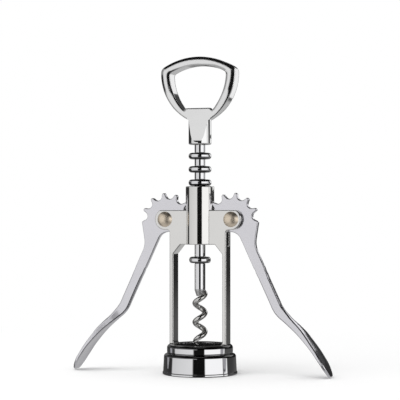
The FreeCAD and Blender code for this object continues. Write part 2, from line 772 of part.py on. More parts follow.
def loop_outline(top, side, corner_r, floor_r):
    """A closed loop in the front view: wide round top, round sides, narrow round floor.

    top is (height, radius) and side is (centre across, centre height, radius).
    """
    top_z, top_r = top
    side_x, side_z, side_r = side
    top_c = point(0, top_z - top_r)
    side_c = point(-side_x, side_z)
    to_top = top_r - corner_r
    to_side = side_r - corner_r
    between = top_c - side_c
    span = between.Length
    reach = (to_side ** 2 - to_top ** 2 + span ** 2) / (2 * span)
    rise = math.sqrt(to_side ** 2 - reach ** 2)
    between.normalize()
    corner_c = side_c + between * reach + point(-between.z, between.x) * rise
    top_angle = math.degrees(math.atan2(corner_c.z - top_c.z, corner_c.x - top_c.x))
    side_angle = math.degrees(math.atan2(corner_c.z - side_c.z, corner_c.x - side_c.x))
    to_floor = side_r - floor_r
    floor_angle = -math.degrees(math.acos(side_x / to_floor))
    floor_z = side_z - math.sqrt(to_floor ** 2 - side_x ** 2)

    def bent(centre, radius, start, end, side_sign):
        """The arc round a centre between two angles, on either side of the loop."""
        places = []
        for angle in (start, (start + end) / 2, end):
            found = polar(centre.x, centre.z, radius, angle)
            places.append(point(side_sign * found.x, found.z))
        return arc(*places)

    edges = [
        bent(top_c, top_r, top_angle, 180 - top_angle, 1),
        bent(point(0, floor_z), floor_r, floor_angle, -180 - floor_angle, 1),
    ]
    for side_sign in (1, -1):
        edges.append(bent(side_c, side_r, floor_angle, side_angle, side_sign))
        edges.append(bent(corner_c, corner_r, side_angle, top_angle, side_sign))
    return Part.Wire(Part.__sortEdges__(edges))


def loop_outer(inset):
    """The outside of the handle's ring, moved inwards by inset."""
    top_z = SOCKET_Z + HANDLE_RISE
    return loop_outline((top_z - inset, LOOP_TOP_R - inset),
                        (LOOP_SIDE_CENTRE_X, top_z - LOOP_SIDE_CENTRE_DROP, LOOP_SIDE_R - inset),
                        LOOP_CORNER_R - inset, LOOP_FOOT_R - inset)


def make_loop():
    """The finger ring, with its front and back edges rounded outside and in the hole."""
    top_z = SOCKET_Z + HANDLE_RISE
    hole = loop_outline((top_z - HOLE_DROP, HOLE_TOP_R),
                        (HOLE_SIDE_CENTRE_X, top_z - HOLE_SIDE_CENTRE_DROP, HOLE_SIDE_R),
                        HOLE_CORNER_R, HOLE_FLOOR_R)
    loop = through(loop_outer(0), LOOP_HALF_DEPTH)
    loop = loop.makeFillet(LOOP_EDGE_R, outline_edges(loop, LOOP_HALF_DEPTH))
    opening = through(hole, LOOP_HALF_DEPTH + CUT_PAST)
    loop = loop.cut(opening)
    inside = [edge for edge in outline_edges(loop, LOOP_HALF_DEPTH) if hole_edge(edge, opening)]
    return loop.makeFillet(HOLE_EDGE_R, inside)


def hole_edge(edge, opening):
    """Whether an edge of the ring lies on the wall of its opening."""
    middle = edge.valueAt((edge.FirstParameter + edge.LastParameter) / 2)
    return opening.Shells[0].distToShape(Part.Vertex(middle))[0] < 1e-4


def handle_side_profile():
    """The handle seen from the side: socket, hollowed flats, thin neck, deeper ring."""
    top_z = SOCKET_Z + HANDLE_RISE + CUT_PAST
    first = HANDLE_FLATS[0]
    last = HANDLE_FLATS[-1]
    edges = []
    for side in (-1, 1):
        curve = Part.BSplineCurve()
        curve.interpolate([FreeCAD.Vector(0, side * y, SOCKET_Z + rise) for rise, y in HANDLE_FLATS])
        socket = FreeCAD.Vector(0, side * first[1], SOCKET_Z - CUT_PAST)
        top = FreeCAD.Vector(0, side * last[1], top_z)
        edges += [
            line(point(0, SOCKET_Z - CUT_PAST), socket),
            line(socket, FreeCAD.Vector(0, side * first[1], SOCKET_Z + first[0])),
            curve.toShape(),
            line(FreeCAD.Vector(0, side * last[1], SOCKET_Z + last[0]), top),
            line(top, point(0, top_z)),
        ]
    face = Part.Face(Part.Wire(Part.__sortEdges__(edges)))
    face.translate(FreeCAD.Vector(-LOOP_SIDE_R, 0, 0))
    return face.extrude(FreeCAD.Vector(2 * LOOP_SIDE_R, 0, 0))


def make_handle():
    """Socket, finger ring and cap lifter in one casting."""
    socket = turned([
        (0, SOCKET_Z, 0),
        (SOCKET_R, SOCKET_Z, SOCKET_EDGE_R),
        (SOCKET_R, SOCKET_Z + SOCKET_LENGTH, 0),
        (0, SOCKET_Z + SOCKET_LENGTH, 0),
    ])
    deep = SOCKET_R + CUT_PAST
    lifter_z = SOCKET_Z + LIFTER_RISE
    lifter = Part.Face(rounded_wire([
        (-LIFTER_HALF_WIDTH, SOCKET_Z + SOCKET_LENGTH - CUT_PAST, 0),
        (LIFTER_HALF_WIDTH, SOCKET_Z + SOCKET_LENGTH - CUT_PAST, 0),
        (LIFTER_HALF_WIDTH, lifter_z - LIFTER_CHAMFER, 0),
        (LIFTER_HALF_WIDTH - LIFTER_CHAMFER, lifter_z, 0),
        (LIFTER_CHAMFER - LIFTER_HALF_WIDTH, lifter_z, 0),
        (-LIFTER_HALF_WIDTH, lifter_z - LIFTER_CHAMFER, 0),
    ]))
    lifter.translate(FreeCAD.Vector(0, -deep, 0))
    lifter = lifter.extrude(FreeCAD.Vector(0, deep - LIFTER_BACK_Y, 0))
    lifter = lifter.common(through(loop_outer(LIFTER_INSET), deep))
    body = make_loop().fuse(socket).fuse(lifter).common(handle_side_profile())
    bore = Part.makeCylinder(SHANK_R + SEAT_CLEARANCE, SHANK_IN_SOCKET + END_CLEARANCE, point(0, SOCKET_Z))
    return body.cut(bore).cut(handle_pin_solid(SEAT_CLEARANCE)).removeSplitter()


def handle_pin_solid(grow):
    """The cross pin, or with grow the hole that it is driven into."""
    z = SOCKET_Z + PIN_ABOVE_SOCKET
    half = SOCKET_R - PIN_INSET
    if grow:
        half = SOCKET_R + CUT_PAST
    return Part.makeCylinder(PIN_R + grow, 2 * half, point(-half, z), FreeCAD.Vector(1, 0, 0))


def main():
    os.makedirs("parts", exist_ok=True)
    right_wing = make_right_wing()
    pieces = {
        "frame": make_frame(),
        "bell": make_bell(),
        "bell_liner": make_liner(),
        "left_wing": mirrored(right_wing),
        "right_wing": right_wing,
        "left_rivet": make_rivet(-1),
        "right_rivet": make_rivet(1),
        "rack_sleeve": make_rack(),
        "worm": make_worm().cut(handle_pin_solid(SEAT_CLEARANCE)),
        "worm_holder": make_holder(),
        "worm_collar": make_collar(),
        "opener_handle": make_handle(),
        "handle_pin": handle_pin_solid(0),
    }
    for name, shape in pieces.items():
        shape.exportStep("parts/" + name + ".step")
        box = shape.BoundBox
        print(name, "valid", shape.isValid(), "solids", len(shape.Solids),
              "volume", round(shape.Volume, 1),
              "x", round(box.XMin, 2), round(box.XMax, 2),
              "y", round(box.YMin, 2), round(box.YMax, 2),
              "z", round(box.ZMin, 2), round(box.ZMax, 2))


main()
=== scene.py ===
"""Finishes, studio and camera for a wing corkscrew.

The file has the form of an add-on, with one operator for each group of like
pieces and one for the studio. Run as a script it builds the whole scene.
"""

import math

import bpy
from mathutils import Euler, Matrix, Vector


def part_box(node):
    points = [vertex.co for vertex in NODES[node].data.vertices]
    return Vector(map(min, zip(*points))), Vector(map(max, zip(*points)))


bl_info = {
    "name": "Wing corkscrew",
    "version": (1, 0, 0),
    "blender": (4, 5, 0),
    "location": "View3D > Sidebar > Corkscrew",
    "description": "Finishes for the pieces of a wing corkscrew, with a studio to show it in",
    "category": "Object",
}

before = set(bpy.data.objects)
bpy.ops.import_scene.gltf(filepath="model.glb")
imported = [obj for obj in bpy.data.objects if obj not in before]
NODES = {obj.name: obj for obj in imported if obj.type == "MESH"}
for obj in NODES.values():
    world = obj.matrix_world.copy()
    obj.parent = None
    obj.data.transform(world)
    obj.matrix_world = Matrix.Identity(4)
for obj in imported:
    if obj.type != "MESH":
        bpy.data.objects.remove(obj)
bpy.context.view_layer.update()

IMAGE_WIDTH_PX = 400
SENSOR_MM = 36.0

# Patterns of the finishes as drawn, in millimetres: how wide, and how deep where they are bumps
HAZE_PATCH_MM = 9.0
SATIN_CLOUD_MM = 14.0
SATIN_GRAIN_DEPTH_MM = 0.01
NICKEL_STAIN_MM = 2.5
NICKEL_RING_DEPTH_MM = 0.008
STEEL_SCUFF_MM = 0.8
STEEL_SCUFF_DEPTH_MM = 0.012
NYLON_GRAIN_MM = 0.35
NYLON_GRAIN_DEPTH_MM = 0.02
NYLON_CLOUD_MM = 5.0

# The rings on a rivet head: how far out their wave turns by a radian, and by how
# many radians Blender's wave texture turns for each unit of its scale
NICKEL_RADIAN_MM = 0.55
WAVE_RADIANS = 20

# The bent normals on the handle's edges, as (how far a round edge leans, how far it leans here).
# An edge that looks left or up takes the fast one, by the parts of its direction given below.
# They act above a height or outside a width, in metres, and set in over a blend of the height.
LEAN_SLOW = [(0.0, 0.0), (0.05, 0.13), (0.92, 0.41), (0.97, 0.75), (1.0, 1.0)]
LEAN_FAST = [(0.0, 0.0), (0.12, 0.54), (0.9, 0.6), (1.0, 1.0)]
LOOKS_LEFT = {"From Min": -0.1, "From Max": -0.5}
LOOKS_UP = {"From Min": 0.3, "From Max": 0.7}
BENT_FROM_Z = 0.1415
BENT_FROM_X = 0.0065
BENT_BLEND = 0.001

# The painted dark reflection on a turned piece where it turns over, reached over a blend of its lean,
# and the lesser painted dark reflection on a flat top, which it nears from a lean of TOP_FROM
TURN_BLEND = 0.1
PAINTED_TURN_REFLECTION = 0.12
TOP_FROM = 0.93
PAINTED_TOP_REFLECTION = 0.6

# Floor and lamp, with lengths in metres, and the light on all that isn't a mirror
FLOOR_CORNERS = 96
FLOOR_FADE = (0.06, 0.32)
LAMP_SIZE = 0.7
LAMP_PLACE = (-0.25, -0.35, 0.95)
LAMP_AIM = (0.0, 0.0, 0.05)
EVEN_LIGHT = 0.86

# The card that the sides of the handle reflect: metres, and degrees to the right of the camera
CARD_BEARING = 138.0
CARD_DISTANCE = 0.25
CARD_WIDTH = 0.16
CARD_LOW = 0.104
CARD_HIGH = 0.26
CARD_BRIGHTNESS = 0.95

# The studio as the polished metal sees it, from straight down to straight up. Each zone
# starts at a height in degrees, which it reaches over a blend in degrees, and lists its
# brightness by degrees to the right of the camera. It is arranged for the view from there.
ZONES = [
    (-90, 1, [(-180, 0.55), (-120, 0.5), (120, 0.5), (180, 0.55)]),
    (-45, 4, [
        (-180, 0.45), (-155, 0.45), (-135, 0.04), (-98, 0.04), (-88, 0.40), (-25, 0.45),
        (-18, 0.05), (14, 0.05), (22, 0.40), (120, 0.35), (180, 0.45)]),
    (-28, 4, [
        (-180, 0.5), (-155, 0.45), (-135, 0.04), (-100, 0.03), (-96, 0.72), (-60, 0.80),
        (-25, 0.86), (-21, 0.008), (14, 0.008), (20, 0.45), (96, 0.40), (110, 0.30), (130, 0.40),
        (150, 0.50), (180, 0.50)]),
    (-12, 2, [
        (-180, 0.26), (-172, 0.20), (-160, 0.06), (-100, 0.06), (-96, 0.72), (-60, 0.80),
        (-25, 0.86), (-21, 0.008), (14, 0.008), (17, 1.16), (75, 1.16), (77, 0.05),
        (79, 0.05), (81, 1.1), (93, 1.0), (96, 0.085), (136, 0.09), (165, 0.11), (172, 0.2),
        (180, 0.26)]),
    (-3.4, 2.4, [
        (-180, 0.10), (-166, 0.06), (-150, 0.03), (-100, 0.03), (-96, 0.72), (-60, 0.80),
        (-25, 0.86), (-21, 0.006), (14, 0.006), (17, 1.16), (75, 1.16), (77, 0.05),
        (79, 0.05), (81, 1.1), (93, 1.0), (96, 0.06), (136, 0.03), (142, 0.015), (180, 0.10)]),
    (4.8, 1.2, [
        (-180, 0.06), (-170, 0.3), (-100, 0.3), (-96, 0.72), (-60, 0.80),
        (-25, 0.86), (-21, 0.006), (14, 0.006), (17, 1.16), (75, 1.16), (77, 0.05),
        (79, 0.05), (81, 1.1), (93, 1.0), (96, 0.06), (136, 0.03), (165, 0.02), (180, 0.06)]),
    (12, 3, [
        (-180, 0.06), (-170, 0.3), (-100, 0.3), (-96, 0.72), (-60, 0.80),
        (-12, 0.86), (-8, 0.006), (14, 0.006), (17, 1.16), (93, 1.0), (96, 0.06), (180, 0.06)]),
    (22, 4, [
        (-180, 0.06), (-120, 0.1), (-100, 0.3), (-96, 0.72), (-60, 0.80), (-25, 0.86),
        (-21, 0.006), (100, 0.006), (120, 0.06), (180, 0.06)]),
    (43, 4, [(-180, 0.05), (-120, 0.05), (-100, 0.006), (100, 0.006), (120, 0.05), (180, 0.05)]),
    (78, 4, [(-180, 0.65), (180, 0.65)]),
]


def srgb(code):
    """A colour written as six hex digits, turned to the linear values Blender mixes with."""
    linear = []
    for start in (0, 2, 4):
        part = int(code[start:start + 2], 16) / 255
        linear.append(part / 12.92 if part <= 0.04045 else ((part + 0.055) / 1.055) ** 2.4)
    return (*linear, 1.0)


def grey(value):
    """A plain number as a colour."""
    return (value, value, value, 1.0)


def shade(colour, share):
    """A colour made darker or lighter by a share."""
    return (*(part * share for part in colour[:3]), 1.0)


def per_metre(size_mm):
    """How often a pattern of this size repeats in a metre."""
    return 1000.0 / size_mm


def node(tree, kind, values=None, links=None, stops=None, **settings):
    """Adds a node with its settings, the values of its inputs, the links into them and a ramp's stops.

    Each stop is (where, colour).
    """
    made = tree.nodes.new(kind)
    for name, value in settings.items():
        setattr(made, name, value)
    for name, value in (values or {}).items():
        made.inputs[name].default_value = value
    for name, (source, output) in (links or {}).items():
        tree.links.new(source.outputs[output], made.inputs[name])
    if stops:
        marks = made.color_ramp.elements
        marks.remove(marks[-1])
        for index, (position, colour) in enumerate(stops):
            mark = marks.new(position) if index else marks[0]
            mark.position = position
            mark.color = colour
    return made


def new_material(name):
    """An empty material, its tree and its texture coordinates."""
    material = bpy.data.materials.new(name)
    material.use_nodes = True
    tree = material.node_tree
    tree.nodes.clear()
    return material, tree, node(tree, "ShaderNodeTexCoord")


def give(material, *names):
    """Puts a material on CAD nodes in place of the one they were packed with."""
    for name in names:
        slots = NODES[name].material_slots
        for slot in slots:
            slot.material = material
        if not slots:
            NODES[name].data.materials.append(material)


def cast_bevels(tree, place, rounded):
    """Bent normals for the edges of the handle, above BENT_FROM_Z or outside BENT_FROM_X.

    They are shading only. Across a round edge the normal leans over evenly. Here it leans
    little at first and then fast where the edge looks right or down, and fast at first where
    it looks left or up, which sets how wide the dark lines are. On the lower part of the ring
    they also stand in for a rounding that the solid doesn't have.
    """
    normal = node(tree, "ShaderNodeVectorTransform", links={"Vector": (rounded, "Normal")},
                  vector_type="NORMAL", convert_from="WORLD", convert_to="OBJECT")
    across = node(tree, "ShaderNodeVectorMath", {1: (1.0, 0.0, 1.0)}, {0: (normal, "Vector")},
                  operation="MULTIPLY")
    lean = node(tree, "ShaderNodeVectorMath", links={0: (across, "Vector")}, operation="LENGTH")
    way = node(tree, "ShaderNodeVectorMath", links={0: (across, "Vector")}, operation="NORMALIZE")
    slow = node(tree, "ShaderNodeValToRGB", links={"Fac": (lean, "Value")},
                stops=[(position, grey(value)) for position, value in LEAN_SLOW])
    fast = node(tree, "ShaderNodeValToRGB", links={"Fac": (lean, "Value")},
                stops=[(position, grey(value)) for position, value in LEAN_FAST])
    ways = node(tree, "ShaderNodeSeparateXYZ", links={"Vector": (way, "Vector")})
    left = node(tree, "ShaderNodeMapRange", LOOKS_LEFT, {"Value": (ways, "X")})
    up = node(tree, "ShaderNodeMapRange", LOOKS_UP, {"Value": (ways, "Z")})
    either = node(tree, "ShaderNodeMath", links={0: (left, "Result"), 1: (up, "Result")},
                  operation="MAXIMUM")
    leaned = node(tree, "ShaderNodeMixRGB",
                  links={"Fac": (either, "Value"), "Color1": (slow, "Color"), "Color2": (fast, "Color")})
    sideways = node(tree, "ShaderNodeVectorMath", links={0: (way, "Vector"), 1: (leaned, "Color")},
                    operation="MULTIPLY")
    # The part along the depth follows from a normal's length of 1, with the sign that it had
    square = node(tree, "ShaderNodeMath", {1: 2.0}, {0: (leaned, "Color")}, operation="POWER")
    rest = node(tree, "ShaderNodeMath", {0: 1.0}, {1: (square, "Value")}, operation="SUBTRACT",
                use_clamp=True)
    ahead = node(tree, "ShaderNodeMath", {1: 0.5}, {0: (rest, "Value")}, operation="POWER")
    was = node(tree, "ShaderNodeSeparateXYZ", links={"Vector": (normal, "Vector")})
    facing = node(tree, "ShaderNodeMath", links={0: (was, "Y")}, operation="SIGN")
    forward = node(tree, "ShaderNodeMath", links={0: (ahead, "Value"), 1: (facing, "Value")},
                   operation="MULTIPLY")
    onward = node(tree, "ShaderNodeCombineXYZ", links={"Y": (forward, "Value")})
    bent = node(tree, "ShaderNodeVectorMath", links={0: (sideways, "Vector"), 1: (onward, "Vector")},
                operation="ADD")
    point = node(tree, "ShaderNodeSeparateXYZ", links={"Vector": (place, "Object")})
    above = node(tree, "ShaderNodeMapRange",
                 {"From Min": BENT_FROM_Z - BENT_BLEND / 2, "From Max": BENT_FROM_Z + BENT_BLEND / 2},
                 {"Value": (point, "Z")})
    width = node(tree, "ShaderNodeMath", links={0: (point, "X")}, operation="ABSOLUTE")
    outside = node(tree, "ShaderNodeMath", {1: BENT_FROM_X}, {0: (width, "Value")},
                   operation="GREATER_THAN")
    where = node(tree, "ShaderNodeMath", links={0: (above, "Result"), 1: (outside, "Value")},
                 operation="MAXIMUM")
    chosen = node(tree, "ShaderNodeMixRGB",
                  links={"Fac": (where, "Value"), "Color1": (place, "Normal"), "Color2": (bent, "Vector")})
    return node(tree, "ShaderNodeVectorTransform", links={"Vector": (chosen, "Color")},
                vector_type="NORMAL", convert_from="OBJECT", convert_to="WORLD")


def painted_turn_reflections(tree, place, tone, start):
    """A turned piece's colour with painted dark reflections where its wall turns over towards the top or
    the bottom, less dark on a flat top.

    It stands in for the dark surroundings that such places mirror in the front view, and
    stays dark in any light. start is how far the surface leans there, from 0 on a wall
    to 1 on a flat top.
    """
    ways = node(tree, "ShaderNodeSeparateXYZ", links={"Vector": (place, "Normal")})
    lean = node(tree, "ShaderNodeMath", links={0: (ways, "Z")}, operation="ABSOLUTE")
    # Painted dark reflection: full colour on a wall, dark where it turns over, less dark on a flat top
    painted_reflection = node(tree, "ShaderNodeValToRGB", links={"Fac": (lean, "Value")},
                 stops=[(start, grey(1.0)), (start + TURN_BLEND, grey(PAINTED_TURN_REFLECTION)),
                        (TOP_FROM, grey(PAINTED_TURN_REFLECTION)), (1.0, grey(PAINTED_TOP_REFLECTION))])
    return node(tree, "ShaderNodeMixRGB", {"Fac": 1.0},
                {"Color1": (tone, "Color"), "Color2": (painted_reflection, "Color")}, blend_type="MULTIPLY")


def polished_chrome(name, colour, ripple_mm, ripple_depth_mm, haze, edge_mm, bent_edges=False,
                    painted_reflection_from=None):
    """Chromium plate, buffed: a mirror that is a little cold, with a fine haze in patches.

    What is under it shows as a slow ripple in the reflections, long and shallow on
    turned and drawn metal, shorter on a casting. Sharp edges are shaded as if rounded
    by edge_mm.
    """
    material, tree, place = new_material(name)
    patches = node(tree, "ShaderNodeTexNoise", {"Scale": per_metre(HAZE_PATCH_MM), "Detail": 3.0},
                   {"Vector": (place, "Object")})
    spread = node(tree, "ShaderNodeMapRange",
                  {"From Min": 0.35, "From Max": 0.65, "To Min": haze * 0.7, "To Max": haze * 1.4},
                  {"Value": (patches, "Fac")})
    tone = node(tree, "ShaderNodeMixRGB", {"Color1": colour, "Color2": shade(colour, 0.955)},
                {"Fac": (patches, "Fac")})
    # With a start given, the colour gets painted dark reflections where the wall turns over
    if painted_reflection_from is not None:
        tone = painted_turn_reflections(tree, place, tone, painted_reflection_from)
    ripple = node(tree, "ShaderNodeTexNoise", {"Scale": per_metre(ripple_mm), "Detail": 1.0},
                  {"Vector": (place, "Object")})
    edges = node(tree, "ShaderNodeBevel", {"Radius": edge_mm / 1000}, samples=8)
    under = (cast_bevels(tree, place, edges), "Vector") if bent_edges else (edges, "Normal")
    bump = node(tree, "ShaderNodeBump", {"Strength": 1.0, "Distance": ripple_depth_mm / 1000},
                {"Height": (ripple, "Fac"), "Normal": under})
    shader = node(tree, "ShaderNodeBsdfPrincipled", {"Metallic": 1.0},
                  {"Base Color": (tone, "Color"), "Roughness": (spread, "Result"),
                   "Normal": (bump, "Normal")})
    node(tree, "ShaderNodeOutputMaterial", links={"Surface": (shader, "BSDF")})
    return material


def satin_chrome(name, colour, grain_mm, roughness):
    """Chromium plate over a blasted and lightly brushed casting: soft, cool, no clear image.

    The grain is drawn coarser than on the real finish, so that it shows at the size of
    the picture.
    """
    material, tree, place = new_material(name)
    drawn = node(tree, "ShaderNodeMapping", {"Scale": (1.0, 1.0, 0.3)}, {"Vector": (place, "Object")})
    grain = node(tree, "ShaderNodeTexNoise", {"Scale": per_metre(grain_mm), "Detail": 4.0},
                 {"Vector": (drawn, "Vector")})
    cloud = node(tree, "ShaderNodeTexNoise", {"Scale": per_metre(SATIN_CLOUD_MM), "Detail": 2.0},
                 {"Vector": (place, "Object")})
    spread = node(tree, "ShaderNodeMapRange",
                  {"From Min": 0.3, "From Max": 0.7, "To Min": roughness * 0.85, "To Max": roughness * 1.2},
                  {"Value": (grain, "Fac")})
    tone = node(tree, "ShaderNodeMixRGB", {"Color1": colour, "Color2": shade(colour, 0.93)},
                {"Fac": (cloud, "Fac")})
    bump = node(tree, "ShaderNodeBump", {"Strength": 0.6, "Distance": SATIN_GRAIN_DEPTH_MM / 1000},
                {"Height": (grain, "Fac")})
    shader = node(tree, "ShaderNodeBsdfPrincipled", {"Metallic": 1.0},
                  {"Base Color": (tone, "Color"), "Roughness": (spread, "Result"),
                   "Normal": (bump, "Normal")})
    node(tree, "ShaderNodeOutputMaterial", links={"Surface": (shader, "BSDF")})
    return material


def turned_nickel(name, colour, centre):
    """Nickel plate on a rivet head: warm, faintly ringed by the tool that headed it."""
    material, tree, place = new_material(name)
    centred = node(tree, "ShaderNodeMapping", {"Location": [-c for c in centre]},
                   {"Vector": (place, "Object")})
    rings = node(tree, "ShaderNodeTexWave",
                 {"Scale": per_metre(NICKEL_RADIAN_MM) / WAVE_RADIANS, "Distortion": 0.6, "Detail": 1.0},
                 {"Vector": (centred, "Vector")},
                 wave_type="RINGS", rings_direction="Y")
    stain = node(tree, "ShaderNodeTexNoise", {"Scale": per_metre(NICKEL_STAIN_MM), "Detail": 3.0},
                 {"Vector": (place, "Object")})
    tone = node(tree, "ShaderNodeMixRGB", {"Color1": colour, "Color2": shade(colour, 0.82)},
                {"Fac": (stain, "Fac")})
    spread = node(tree, "ShaderNodeMapRange", {"To Min": 0.36, "To Max": 0.42}, {"Value": (rings, "Fac")})
    bump = node(tree, "ShaderNodeBump", {"Strength": 0.4, "Distance": NICKEL_RING_DEPTH_MM / 1000},
                {"Height": (rings, "Fac")})
    shader = node(tree, "ShaderNodeBsdfPrincipled", {"Metallic": 1.0},
                  {"Base Color": (tone, "Color"), "Roughness": (spread, "Result"),
                   "Normal": (bump, "Normal")})
    node(tree, "ShaderNodeOutputMaterial", links={"Surface": (shader, "BSDF")})
    return material


def bare_steel(name, colour, roughness):
    """Steel without a coating, drawn, turned or ground: darker than the chrome, with short scuffs."""
    material, tree, place = new_material(name)
    scuffs = node(tree, "ShaderNodeTexNoise",
                  {"Scale": per_metre(STEEL_SCUFF_MM), "Detail": 5.0, "Roughness": 0.6},
                  {"Vector": (place, "Object")})
    tone = node(tree, "ShaderNodeValToRGB", links={"Fac": (scuffs, "Fac")},
                stops=[(0.32, shade(colour, 0.75)), (0.58, colour)])
    spread = node(tree, "ShaderNodeMapRange", {"To Min": roughness * 0.8, "To Max": roughness * 1.5},
                  {"Value": (scuffs, "Fac")})
    bump = node(tree, "ShaderNodeBump", {"Strength": 0.5, "Distance": STEEL_SCUFF_DEPTH_MM / 1000},
                {"Height": (scuffs, "Fac")})
    shader = node(tree, "ShaderNodeBsdfPrincipled", {"Metallic": 1.0},
                  {"Base Color": (tone, "Color"), "Roughness": (spread, "Result"),
                   "Normal": (bump, "Normal")})
    node(tree, "ShaderNodeOutputMaterial", links={"Surface": (shader, "BSDF")})
    return material


def moulded_nylon(name, colour):
    """Injection moulded nylon: black, dull, with the fine spark grain of its mould."""
    material, tree, place = new_material(name)
    grain = node(tree, "ShaderNodeTexVoronoi", {"Scale": per_metre(NYLON_GRAIN_MM)},
                 {"Vector": (place, "Object")})
    cloud = node(tree, "ShaderNodeTexNoise", {"Scale": per_metre(NYLON_CLOUD_MM)},
                 {"Vector": (place, "Object")})
    tone = node(tree, "ShaderNodeMixRGB", {"Color1": colour, "Color2": shade(colour, 1.35)},
                {"Fac": (cloud, "Fac")})
    bump = node(tree, "ShaderNodeBump", {"Strength": 0.5, "Distance": NYLON_GRAIN_DEPTH_MM / 1000},
                {"Height": (grain, "Distance")})
    shader = node(tree, "ShaderNodeBsdfPrincipled", {"Roughness": 0.52, "IOR": 1.53},
                  {"Base Color": (tone, "Color"), "Normal": (bump, "Normal")})
    node(tree, "ShaderNodeOutputMaterial", links={"Surface": (shader, "BSDF")})
    return material


def floor_paper(name, colour):
    """White paper sweep: matt where the object stands, and plain white further off."""
    material, tree, place = new_material(name)
    paper = node(tree, "ShaderNodeBsdfPrincipled",
                 {"Base Color": colour, "Roughness": 1.0, "Specular IOR Level": 0.0})
    far = node(tree, "ShaderNodeVectorMath", links={0: (place, "Object")}, operation="LENGTH")
    fade = node(tree, "ShaderNodeMapRange", {"From Min": FLOOR_FADE[0], "From Max": FLOOR_FADE[1]},
                {"Value": (far, "Value")}, interpolation_type="SMOOTHSTEP")
    white = node(tree, "ShaderNodeEmission", {"Color": grey(1.0), "Strength": 1.0})
    mixed = node(tree, "ShaderNodeMixShader",
                 links={"Fac": (fade, "Result"), 1: (paper, "BSDF"), 2: (white, "Emission")})
    node(tree, "ShaderNodeOutputMaterial", links={"Surface": (mixed, "Shader")})
    return material


def card_white(name, brightness):
    """A card that gives off an even white light."""
    material, tree, place = new_material(name)
    shader = node(tree, "ShaderNodeBsdfPrincipled",
                  {"Base Color": grey(0.0), "Emission Color": grey(1.0), "Emission Strength": brightness})
    node(tree, "ShaderNodeOutputMaterial", links={"Surface": (shader, "BSDF")})
    return material


def once_round(zone):
    """A zone's brightness by direction, as the stops of a ramp that goes once round."""
    return [((degrees + 180) / 360, grey(brightness)) for degrees, brightness in zone]


class CorkscrewFinishes(bpy.types.PropertyGroup):
    """Colours and grain of the corkscrew's finishes."""

    bell: bpy.props.FloatVectorProperty(
        name="Bell", description="Colour of the bell's chrome", subtype="COLOR", size=4,
        min=0, max=1, default=srgb("E6E6E8"))
    casting: bpy.props.FloatVectorProperty(
        name="Frame", description="Colour of the frame's chrome", subtype="COLOR", size=4,
        min=0, max=1, default=srgb("E6E5E3"))
    handle: bpy.props.FloatVectorProperty(
        name="Handle", description="Colour of the handle's chrome", subtype="COLOR", size=4,
        min=0, max=1, default=srgb("EDEDED"))
    rod: bpy.props.FloatVectorProperty(
        name="Rack", description="Colour of the rack's chrome", subtype="COLOR", size=4,
        min=0, max=1, default=srgb("EAEAEC"))
    wing: bpy.props.FloatVectorProperty(
        name="Wings", description="Colour of the wings' satin chrome", subtype="COLOR", size=4,
        min=0, max=1, default=srgb("E4E3E8"))
    rivet: bpy.props.FloatVectorProperty(
        name="Rivets", description="Colour of the nickel on the rivets", subtype="COLOR", size=4,
        min=0, max=1, default=srgb("FAEBD6"))
    wire: bpy.props.FloatVectorProperty(
        name="Worm", description="Colour of the worm's steel", subtype="COLOR", size=4,
        min=0, max=1, default=srgb("D8D7D5"))
    collar: bpy.props.FloatVectorProperty(
        name="Collar", description="Colour of the collar's bare steel", subtype="COLOR", size=4,
        min=0, max=1, default=srgb("CFCFCF"))
    liner: bpy.props.FloatVectorProperty(
        name="Liner", description="Colour of the liner's nylon", subtype="COLOR", size=4,
        min=0, max=1, default=srgb("262626"))
    grain: bpy.props.FloatProperty(
        name="Satin grain", description="Width of the satin grain as drawn, in millimetres",
        min=0.05, max=3, default=0.3)


class CorkscrewStudio(bpy.types.PropertyGroup):
    """Camera, lamp and floor."""

    azimuth: bpy.props.FloatProperty(
        name="Azimuth", description="How far the camera stands to the right of the front",
        subtype="ANGLE", default=math.radians(17.0))
    distance: bpy.props.FloatProperty(
        name="Distance", description="From the worm's axis to the camera, along the floor",
        unit="LENGTH", min=0.2, default=0.735)
    height: bpy.props.FloatProperty(
        name="Height", description="Height of the camera over the floor", unit="LENGTH", default=0.085)
    zoom_px: bpy.props.FloatProperty(
        name="Focal length in pixels", description="Focal length in pixels of the picture", default=1360.0)
    horizon_px: bpy.props.FloatProperty(
        name="Horizon", description="How far under the middle of the picture the horizon lies, in pixels",
        default=16.0)
    floor: bpy.props.FloatVectorProperty(
        name="Floor", description="Colour of the paper the object stands on", subtype="COLOR", size=4,
        min=0, max=1, default=srgb("F8F8F8"))
    floor_radius: bpy.props.FloatProperty(
        name="Floor radius", description="Radius of the floor", unit="LENGTH", default=1.6)
    lamp_power: bpy.props.FloatProperty(
        name="Lamp", description="Power of the lamp that draws the shadow", unit="POWER", default=3.2)


class CORKSCREW_OT_frame(bpy.types.Operator):
    """Chrome on the cast frame: barrel, brackets and legs"""

    bl_idname = "corkscrew.frame"
    bl_label = "Frame"

    def execute(self, context):
        finish = context.scene.corkscrew_finishes
        give(polished_chrome("Chrome on cast zinc, buffed", finish.casting, ripple_mm=7.0,
                             ripple_depth_mm=0.012, haze=0.075, edge_mm=0.6), "frame")
        return {"FINISHED"}


class CORKSCREW_OT_bell(bpy.types.Operator):
    """Chrome on the bell, and the nylon liner in it"""

    bl_idname = "corkscrew.bell"
    bl_label = "Bell and liner"

    def execute(self, context):
        finish = context.scene.corkscrew_finishes
        # The bell's colour carries painted dark reflections where its wall turns over and on its flat tops
        give(polished_chrome("Chrome on turned brass, polished", finish.bell, ripple_mm=16.0,
                             ripple_depth_mm=0.006, haze=0.035, edge_mm=0.2, painted_reflection_from=0.15), "bell")
        give(moulded_nylon("Black nylon, moulded", finish.liner), "bell_liner")
        return {"FINISHED"}


